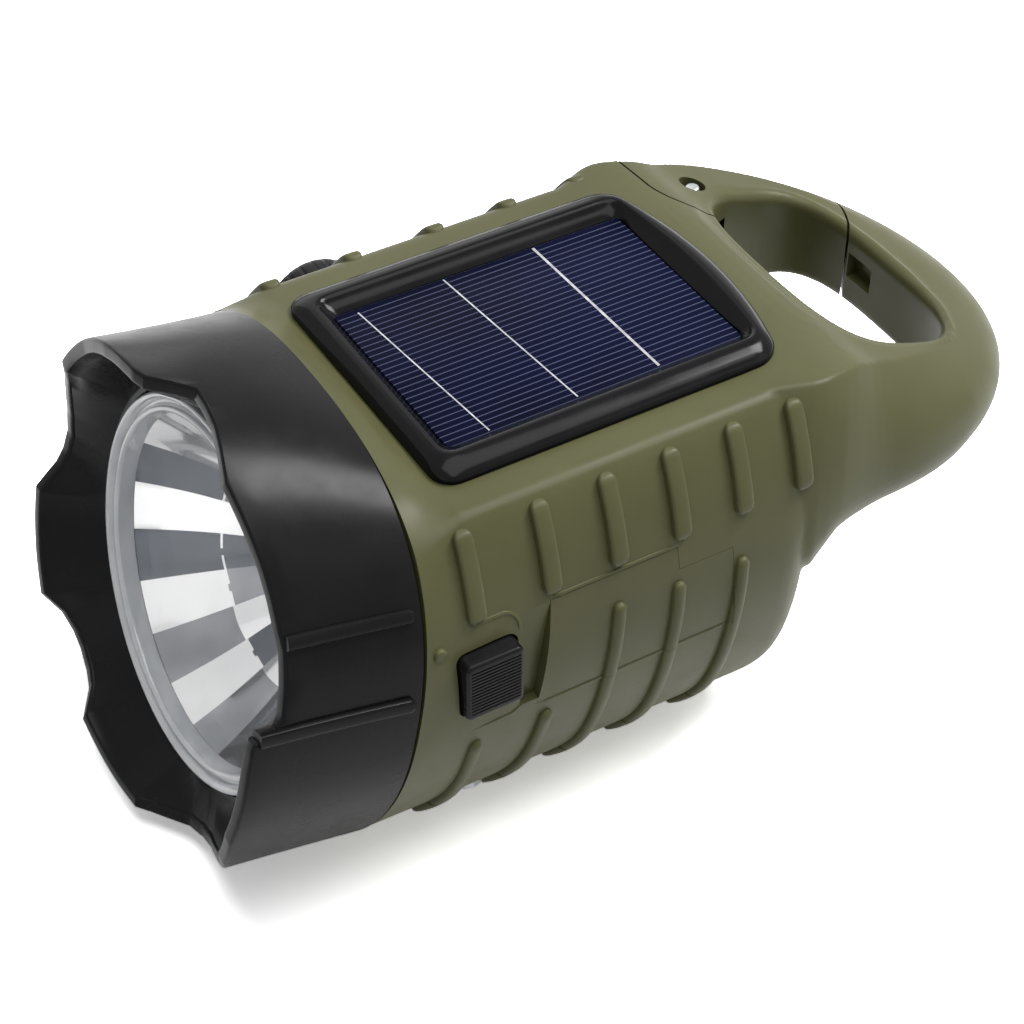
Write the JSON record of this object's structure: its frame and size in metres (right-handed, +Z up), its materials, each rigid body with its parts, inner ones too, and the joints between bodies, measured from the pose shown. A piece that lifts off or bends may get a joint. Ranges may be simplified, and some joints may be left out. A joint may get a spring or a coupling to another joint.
{
  "type": "hand crank flashlight",
  "caption": "Hand cranked flashlight with a scalloped bezel, a deep reflector, a solar panel on top, a side crank and a snap loop tail.",
  "frame": {"origin": "middle of the flat underside of the bottom pan, which the light rests on", "axes": "+X from the beam to the tail loop, -Y the side with the push button, +Z up"},
  "size_m": [0.12, 0.0745, 0.0651],
  "materials": {
    "olive_plastic": "satin moulded plastic, olive green",
    "black_plastic": "satin moulded plastic, black",
    "gloss_black_plastic": "polished black plastic",
    "clear_plastic": "clear moulded plastic",
    "mirror_coat": "vacuum coated plastic, faceted",
    "cell_glass": "laminated solar cell, dark navy with thin silver lines",
    "white_plastic": "white moulded plastic",
    "seal_rubber": "soft black rubber",
    "steel_parts": "plain steel",
    "aluminium_parts": "plain aluminium",
    "brass_parts": "plain brass",
    "copper_wire": "enamelled copper winding",
    "board_laminate": "green circuit board laminate",
    "cell_wrap": "shrink wrap on battery cells"
  },
  "bodies": {
    "housing": {"bezel_crown": "black_plastic", "front_lens": "clear_plastic", "lens_gasket": "seal_rubber", "reflector": "mirror_coat", "led_emitter": "white_plastic", "led_board": "white_plastic", "heat_sink": "aluminium_parts", "neck_ring": "seal_rubber", "main_shell": "olive_plastic", "bottom_pan": "olive_plastic", "solar_frame": "gloss_black_plastic", "solar_cell": "cell_glass", "switch_unit": "black_plastic", "circuit_board": "board_laminate", "charging_jack": "steel_parts", "gate_pin": "steel_parts", "gate_spring": "steel_parts", "crank_bushing": "brass_parts", "idler_axle": "steel_parts", "gear_plate": "steel_parts", "stator_coil": "copper_wire", "generator_case": "steel_parts", "plate_screw_1": "steel_parts", "plate_screw_2": "steel_parts", "plate_screw_3": "steel_parts", "bottom_screw_1": "steel_parts", "bottom_screw_2": "steel_parts", "bottom_screw_3": "steel_parts", "bottom_screw_4": "steel_parts", "battery_cell_1": "cell_wrap", "battery_cell_2": "cell_wrap", "battery_cell_3": "cell_wrap", "battery_contact_front": "steel_parts", "battery_contact_rear": "steel_parts"},
    "crank": {"crank_arm": "black_plastic", "crank_shaft": "steel_parts", "shaft_clip": "steel_parts", "crank_gear": "white_plastic", "crank_screw": "steel_parts", "knob_pin": "steel_parts"},
    "knob": {"crank_knob": "black_plastic"},
    "idler": {"idler_gear": "white_plastic"},
    "rotor": {"generator_rotor": "steel_parts", "rotor_pinion": "brass_parts"},
    "button": {"power_button": "black_plastic"},
    "gate": {"snap_gate": "olive_plastic"},
    "cover": {"side_cover": "olive_plastic"}
  },
  "joints": [
    {"name": "crank_turn", "type": "hinge", "parent": "housing", "child": "crank", "pos_m": [0.016, 0.033, 0.034], "axis": [0, 1, 0], "continuous": true},
    {"name": "knob_spin", "type": "hinge", "parent": "crank", "child": "knob", "pos_m": [-0.0027, 0.038, 0.034], "axis": [0, 1, 0], "continuous": true},
    {"name": "idler_spin", "type": "hinge", "parent": "housing", "child": "idler", "pos_m": [0.00507, 0.02, 0.03207], "axis": [0, 1, 0], "continuous": true},
    {"name": "rotor_spin", "type": "hinge", "parent": "housing", "child": "rotor", "pos_m": [-0.0043, 0.01, 0.03458], "axis": [0, 1, 0], "continuous": true},
    {"name": "button_press", "type": "slide", "parent": "housing", "child": "button", "axis": [0, 1, 0], "range_m": [0, 0.001], "stiffness_N_per_m": 400, "springref_m": -0.0005},
    {"name": "gate_open", "type": "hinge", "parent": "housing", "child": "gate", "pos_m": [0.042, 0.0198, 0.043], "axis": [0, 0, 1], "range_deg": [-22, 0], "stiffness_Nm_per_rad": 0.02, "springref_deg": 11.46},
    {"name": "cover_pull", "type": "slide", "parent": "housing", "child": "cover", "axis": [0, -1, 0], "range_m": [0, 0.01]}
  ],
  "couplings": [
    {"joint": "idler_spin", "follows": "crank_turn", "ratio": -2.6667},
    {"joint": "rotor_spin", "follows": "crank_turn", "ratio": 7.3333}
  ]
}
